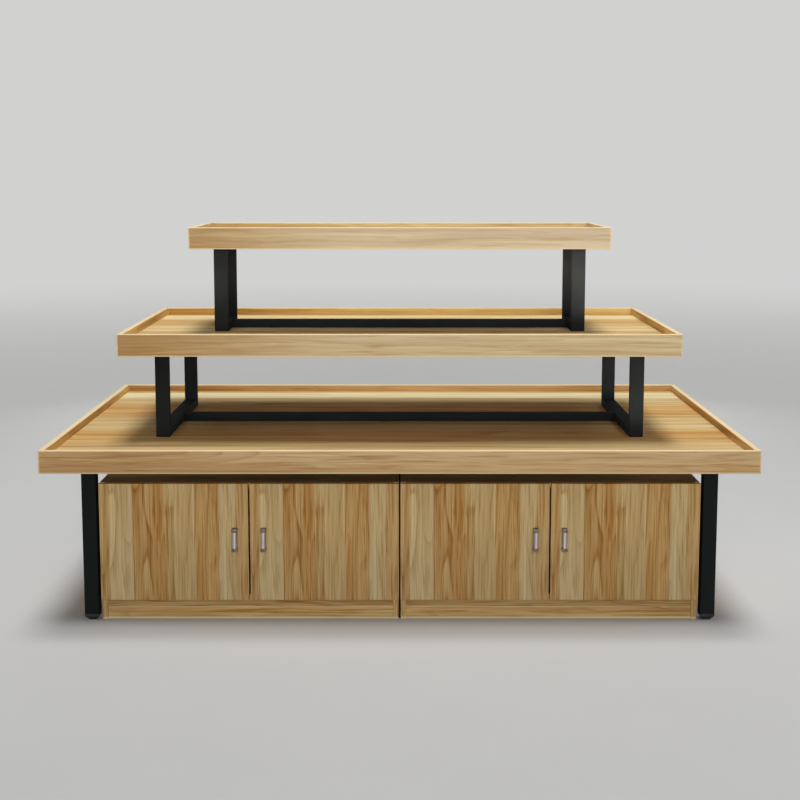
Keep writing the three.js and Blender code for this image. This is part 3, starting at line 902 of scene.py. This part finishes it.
def dress_cabinets(handle, zinc):
    """Carcasses, doors, handles and hinge arms."""
    for cabinet in CABINETS:
        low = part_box(f"{cabinet}_left_side")[0]
        front = low.y - STAVE_MARGIN
        upright = wood(
            f"{cabinet}_side_wood", "z", "y", BASE_STAVES,
            start=front, seed=UPRIGHT_SEED, tone_and_painted_light=kick_painted_light,
        )
        shelf = wood(f"{cabinet}_shelf_wood", "x", "y", BASE_STAVES, start=front, seed=SHELF_SEED)
        back = wood(f"{cabinet}_back_wood", "z", "x", BASE_STAVES, start=low.x, seed=BACK_SEED)
        lid = wood(
            f"{cabinet}_lid_wood", "x", "y", BASE_STAVES,
            start=front, seed=SHELF_SEED, tone_and_painted_light=lip_painted_shade(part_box(f"{cabinet}_top")),
        )
        kick = wood(
            f"{cabinet}_kick_wood", "x", "z", KICK_STAVES,
            start=-STAVE_MARGIN, seed=KICK_SEED, coarse=KICK_COARSE, tone_and_painted_light=kick_painted_light,
        )
        for side in SIDES:
            dress(f"{cabinet}_{side}_side", upright, BOARD_BEVEL)
        dress(f"{cabinet}_top", lid, BOARD_BEVEL)
        dress(f"{cabinet}_bottom", shelf, BOARD_BEVEL)
        dress(f"{cabinet}_back", back, SMALL_BEVEL)
        dress(f"{cabinet}_kick", kick, BOARD_BEVEL)
        for side in SIDES:
            door = f"{cabinet}_{side}_door"
            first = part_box(door)[0].x - STAVE_MARGIN
            face = wood(
                f"{door}_wood", "z", "x", DOOR_STAVES,
                start=first, seed=DOOR_SEED, tone_and_painted_light=door_painted_shade,
            )
            dress(door, face, DOOR_BEVEL)
            dress(f"{cabinet}_{side}_handle", handle, SMALL_BEVEL)
            for level in HINGE_LEVELS:
                dress(f"{cabinet}_{side}_{level}_hinge", zinc, SMALL_BEVEL)


# Small fittings. A ring and a cross recess have as many points, and a rounded corner turns in equal steps.
CIRCLE_POINTS = 24
CORNER_STEPS = 5
CORNER_STEP = 18.0
SINK = 0.0003
EDGE_BREAK = 0.0003
BACKWARDS = (0.0, 1.0, 0.0)

# Screw heads as radius and rise, and the shapes they share as shares of these
EAR_SCREW = (0.0032, 0.0012)
PLATE_SCREW = (0.0037, 0.0018)
ARM_SCREW = (0.0033, 0.0007)
HANDLE_SCREW = (0.0042, 0.0016)
PANEL_SCREW = (0.0036, 0.0014)
HEAD_PROFILE = ((1.0, 0.35), (0.9, 0.78), (0.68, 1.0))
RECESS_PROFILE = ((0.52, 0.13, 1.0), (0.44, 0.1, 0.3))

# Hinge cups in the doors' backs
DOOR_BACK = 0.018
CUP_FROM_EDGE = 0.0225
CUP_RADIUS = 0.01575
CUP_DEPTH = 0.0113
CUP_WALL = 0.0005
CUP_FLOOR = 0.00015
CUP_MOUTH = 0.0004
CUP_CORNER = 0.001
FLANGE_RADIUS = 0.01915
FLANGE_RISE = 0.0014
EAR_HALF = 0.00715
EAR_ROOT = 0.0168
EAR_REACH = 0.03015
EAR_CORNER = 0.005
EAR_SCREW_OUT = 0.0245

# Weld beads, as a fillet that swells and shrinks along its run
BEAD_SIZE = 0.0032
BEAD_STEP = 0.0011
BEAD_PITCH = 0.0048
BEAD_SWELL = 0.13
BEAD_CORNER = 0.003
BEAD_BITE = 0.0004
BEAD_SINK = 0.0002
BEAD_SECTION = ((0.0, 0.0), (1.0, 0.0), (0.82, 0.42), (0.42, 0.82), (0.0, 1.0))
AXES = {"x": Vector((1.0, 0.0, 0.0)), "y": Vector((0.0, 1.0, 0.0)), "z": Vector((0.0, 0.0, 1.0))}

# Places of the other fittings
PLATE_THICKNESS = 0.004
PLATE_SCREW_BACK = 0.023
PLATE_SCREW_OFF = 0.0125
ARM_SCREWS_BACK = (0.009, 0.032)
HANDLE_SCREW_OFF = 0.034
BUMPER_OVER_FOOT = 0.009
BUMPER_UNDER_HEAD = 0.008
BUMPER_FROM_EDGE = 0.02
BUMPER_PROFILE = ((0.0045, -0.0002), (0.0045, 0.0008), (0.0038, 0.0013), (0.0024, 0.0016), (0.0008, 0.0017))
PANEL_SCREWS = 5
PANEL_SCREW_IN = 0.009
PANEL_SCREW_END = 0.04
SEAL_POINTS = 48
SEAL_RIBS = 8
SEAL_RIB = 0.16
SEAL_HALF_DEPTH = 0.0055
SEAL_SLACK = 0.0001
SEAL_IN = 0.012
SEAL_END = 0.001


def frame_at(place, normal):
    """A frame at a place, with its own Z along a direction."""
    turn = Vector((0.0, 0.0, 1.0)).rotation_difference(Vector(normal))
    return Matrix.Translation(place) @ turn.to_matrix().to_4x4()


def skin(mesh, spot, loops):
    """A closed body through a run of point loops in a frame, capped at both ends."""
    rows = [[mesh.verts.new(spot @ Vector(point)) for point in loop] for loop in loops]
    for first, second in zip(rows, rows[1:]):
        for index in range(len(first)):
            after = (index + 1) % len(first)
            mesh.faces.new((first[index], first[after], second[after], second[index]))
    mesh.faces.new(list(reversed(rows[0])))
    mesh.faces.new(rows[-1])


def ring(radius, height):
    """A circle of points that starts one step before its own X, as a cross recess does."""
    turns = [2 * math.pi * (index - 1) / CIRCLE_POINTS for index in range(CIRCLE_POINTS)]
    return [(radius * math.cos(turn), radius * math.sin(turn), height) for turn in turns]


def cross(reach, half, height):
    """The outline of a cross recess."""
    between = (reach + half) / 2
    quarter = [(reach, -half), (reach, 0.0), (reach, half), (between, half), (half, half), (half, between)]
    points = []
    for turn in range(4):
        for x, y in quarter:
            for _ in range(turn):
                x, y = -y, x
            points.append((x, y, height))
    return points


def screw(mesh, place, normal, radius, rise):
    """A pan head with a cross recess."""
    loops = [ring(radius, -SINK)]
    loops += [ring(out * radius, up * rise) for out, up in HEAD_PROFILE]
    loops += [cross(reach * radius, half * radius, up * rise) for reach, half, up in RECESS_PROFILE]
    skin(mesh, frame_at(place, normal), loops)


def ear(mesh, spot):
    """A rounded screw ear beside a hinge cup."""
    outline = [(EAR_HALF, EAR_ROOT)]
    for centre, first in ((EAR_HALF - EAR_CORNER, 0.0), (EAR_CORNER - EAR_HALF, 90.0)):
        for step in range(CORNER_STEPS + 1):
            turn = math.radians(first + CORNER_STEP * step)
            out = EAR_REACH - EAR_CORNER + EAR_CORNER * math.sin(turn)
            outline.append((centre + EAR_CORNER * math.cos(turn), out))
    outline.append((-EAR_HALF, EAR_ROOT))
    middle = (EAR_ROOT + EAR_REACH) / 2

    def loop(height, inset):
        shrink = 1.0 - inset / EAR_HALF
        return [(x * shrink, middle + (y - middle) * shrink, height) for x, y in outline]
    skin(mesh, spot, [loop(-SINK, 0.0), loop(FLANGE_RISE - EDGE_BREAK, 0.0), loop(FLANGE_RISE, EDGE_BREAK)])


def cup(mesh, place):
    """A pressed hinge cup in a door's back, with its flange, ears and screws."""
    spot = frame_at(place, BACKWARDS)
    wall = CUP_RADIUS + CUP_WALL
    profile = (
        (wall, -CUP_DEPTH - CUP_FLOOR),
        (wall, 0.0),
        (FLANGE_RADIUS, 0.0),
        (FLANGE_RADIUS, FLANGE_RISE - EDGE_BREAK),
        (FLANGE_RADIUS - EDGE_BREAK, FLANGE_RISE),
        (CUP_RADIUS + CUP_MOUTH, FLANGE_RISE),
        (CUP_RADIUS, FLANGE_RISE - CUP_MOUTH),
        (CUP_RADIUS, CUP_CORNER - CUP_DEPTH),
        (CUP_RADIUS - CUP_CORNER, -CUP_DEPTH),
    )
    skin(mesh, spot, [ring(radius, height) for radius, height in profile])
    for turn in (0.0, math.pi):
        side = spot @ Matrix.Rotation(turn, 4, "Z")
        ear(mesh, side)
        screw(mesh, side @ Vector((0.0, EAR_SCREW_OUT, FLANGE_RISE)), BACKWARDS, *EAR_SCREW)


def bead_path(width, height):
    """The run of a bead up one side of a tube, round the corner, across and down: place and outward turn."""
    inner = BEAD_CORNER - width / 2
    side = []
    for step in range(int(height / BEAD_STEP)):
        side.append((-width / 2, min(step * BEAD_STEP, height - BEAD_CORNER), 180.0))
    for step in range(1, CORNER_STEPS + 1):
        turn = 180.0 - CORNER_STEP * step
        x = inner + BEAD_CORNER * math.cos(math.radians(turn))
        y = height - BEAD_CORNER + BEAD_CORNER * math.sin(math.radians(turn))
        side.append((x, y, turn))
    count = int((width - 2 * BEAD_CORNER) / BEAD_STEP)
    flat = [(inner + step * BEAD_STEP, height, 90.0) for step in range(1, count)]
    return side + flat + [(-x, y, 180.0 - turn) for x, y, turn in reversed(side)]


def bead(mesh, joint, across, rise, axis, width, height):
    """A weld bead round three sides of a tube's end. The tube leaves the joint along the axis."""
    loops = []
    for number, (x, y, turn) in enumerate(bead_path(width, height)):
        out = across * math.cos(math.radians(turn)) + rise * math.sin(math.radians(turn))
        size = BEAD_SIZE * (1.0 + BEAD_SWELL * math.sin(2 * math.pi * number * BEAD_STEP / BEAD_PITCH))
        root = joint + across * x + rise * y - out * BEAD_BITE - axis * BEAD_SINK
        loops.append([root + (out * side + axis * ahead) * size for side, ahead in BEAD_SECTION])
    skin(mesh, Matrix.Identity(4), loops)


def rail_beads(mesh, rail, along, across, rise):
    """Beads at both ends of a rail, from the face that the rise starts at."""
    low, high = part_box(rail)
    width = getattr(high, across) - getattr(low, across)
    for end, way in ((getattr(low, along), 1.0), (getattr(high, along), -1.0)):
        joint = (low + high) / 2
        joint.z = low.z if rise > 0.0 else high.z
        setattr(joint, along, end)
        bead(mesh, joint, AXES[across], AXES["z"] * rise, AXES[along] * way, width, high.z - low.z)


def settle(name, mesh, material, body):
    """Turns a finished mesh into a piece that moves with a body."""
    bmesh.ops.recalc_face_normals(mesh, faces=mesh.faces)
    data = bpy.data.meshes.new(name)
    mesh.to_mesh(data)
    mesh.free()
    data.materials.append(material)
    for polygon in data.polygons:
        polygon.use_smooth = True
    data.set_sharp_from_angle(angle=math.radians(SMOOTH_ANGLE))
    piece = bpy.data.objects.new(name, data)
    bpy.context.scene.collection.objects.link(piece)
    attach(piece, body)


def add_welds(steel):
    """Beads over the stands' rails and under the leg frame's."""
    mesh = bmesh.new()
    for stand in STANDS:
        rail_beads(mesh, f"{stand}_stand_rail", "x", "y", 1.0)
    for end in ENDS:
        rail_beads(mesh, f"base_{end}_rail", "x", "y", -1.0)
    for side in SIDES:
        rail_beads(mesh, f"base_{side}_cross_rail", "y", "x", -1.0)
    settle("weld_beads", mesh, steel, TABLE_BODY)


def add_door_fittings(zinc, plastic):
    """Hinge cups, screws and bumpers. The screws of the hinge arms stay with the table."""
    plates = bmesh.new()
    for cabinet in CABINETS:
        for side in SIDES:
            way = 1.0 if side == "left" else -1.0
            low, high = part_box(f"{cabinet}_{side}_door")
            hinged, free = (low.x, high.x) if side == "left" else (high.x, low.x)
            back = low.y + DOOR_BACK
            inward = (way, 0.0, 0.0)
            metal = bmesh.new()
            for level in HINGE_LEVELS:
                arm_low, arm_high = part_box(f"{cabinet}_{side}_{level}_hinge")
                height = (arm_low.z + arm_high.z) / 2
                cup(metal, (hinged + way * CUP_FROM_EDGE, back, height))
                wall, arm = (arm_low.x, arm_high.x) if side == "left" else (arm_high.x, arm_low.x)
                plate = wall + way * PLATE_THICKNESS
                for offset in (-PLATE_SCREW_OFF, PLATE_SCREW_OFF):
                    place = (plate, arm_high.y - PLATE_SCREW_BACK, height + offset)
                    screw(plates, place, inward, *PLATE_SCREW)
                for offset in ARM_SCREWS_BACK:
                    screw(plates, (arm, arm_high.y - offset, height), inward, *ARM_SCREW)
            grip_low, grip_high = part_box(f"{cabinet}_{side}_handle")
            middle = (grip_low + grip_high) / 2
            for offset in (-HANDLE_SCREW_OFF, HANDLE_SCREW_OFF):
                screw(metal, (middle.x, back, middle.z + offset), BACKWARDS, *HANDLE_SCREW)
            leaf = f"{cabinet}_{side}_leaf"
            settle(f"{cabinet}_{side}_door_fittings", metal, zinc, leaf)
            stops = bmesh.new()
            for height in (low.z + BUMPER_OVER_FOOT, high.z - BUMPER_UNDER_HEAD):
                spot = frame_at((free - way * BUMPER_FROM_EDGE, back, height), BACKWARDS)
                skin(stops, spot, [ring(radius, rise) for radius, rise in BUMPER_PROFILE])
            settle(f"{cabinet}_{side}_door_bumpers", stops, plastic, leaf)
    settle("hinge_plate_screws", plates, zinc, TABLE_BODY)


def add_cabinet_fittings(zinc, plastic):
    """Screws in the back panels, and ribbed seals that close the joint between the two cabinets."""
    screws = bmesh.new()
    for cabinet in CABINETS:
        low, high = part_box(f"{cabinet}_back")
        pitch = (high.x - low.x - 2 * PANEL_SCREW_END) / (PANEL_SCREWS - 1)
        for height in (low.z + PANEL_SCREW_IN, high.z - PANEL_SCREW_IN):
            for step in range(PANEL_SCREWS):
                place = (low.x + PANEL_SCREW_END + step * pitch, high.y, height)
                screw(screws, place, BACKWARDS, *PANEL_SCREW)
    settle("back_panel_screws", screws, zinc, TABLE_BODY)

    left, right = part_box("left_cabinet_right_side"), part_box("right_cabinet_left_side")
    half = (right[0].x - left[1].x) / 2 - SEAL_SLACK
    outline = []
    for step in range(SEAL_POINTS):
        turn = 2 * math.pi * step / SEAL_POINTS
        rib = 1.0 + SEAL_RIB * math.cos(SEAL_RIBS * turn)
        outline.append((half * math.cos(turn), SEAL_HALF_DEPTH * math.sin(turn) * rib))
    heights = (left[0].z + SEAL_END, left[1].z - SEAL_END)
    loops = [[(x, y, z) for x, y in outline] for z in heights]
    seals = bmesh.new()
    for depth in (left[0].y + SEAL_IN, left[1].y - SEAL_IN):
        skin(seals, Matrix.Translation((0.0, depth, 0.0)), loops)
    settle("cabinet_joint_seals", seals, plastic, TABLE_BODY)


SMOOTHING = smoothing_group()
stage_camera()
stage_world()
stage_floor()
stage_lights()
edge_highlight_wood = painted_edge_highlight("painted_edge_highlight")
dress_trays(edge_highlight_wood)
black_coat = powder_coat("black_powder_coat")
black_plastic = moulded_plastic("black_moulded_plastic")
nickel = plated_steel("nickel_plate")
dress_steel(black_coat, black_plastic)
dress_cabinets(handle_metal("satin_handle"), nickel)
add_welds(black_coat)
add_door_fittings(nickel, black_plastic)
add_cabinet_fittings(nickel, black_plastic)

scene = bpy.context.scene
scene.view_settings.view_transform = "Standard"
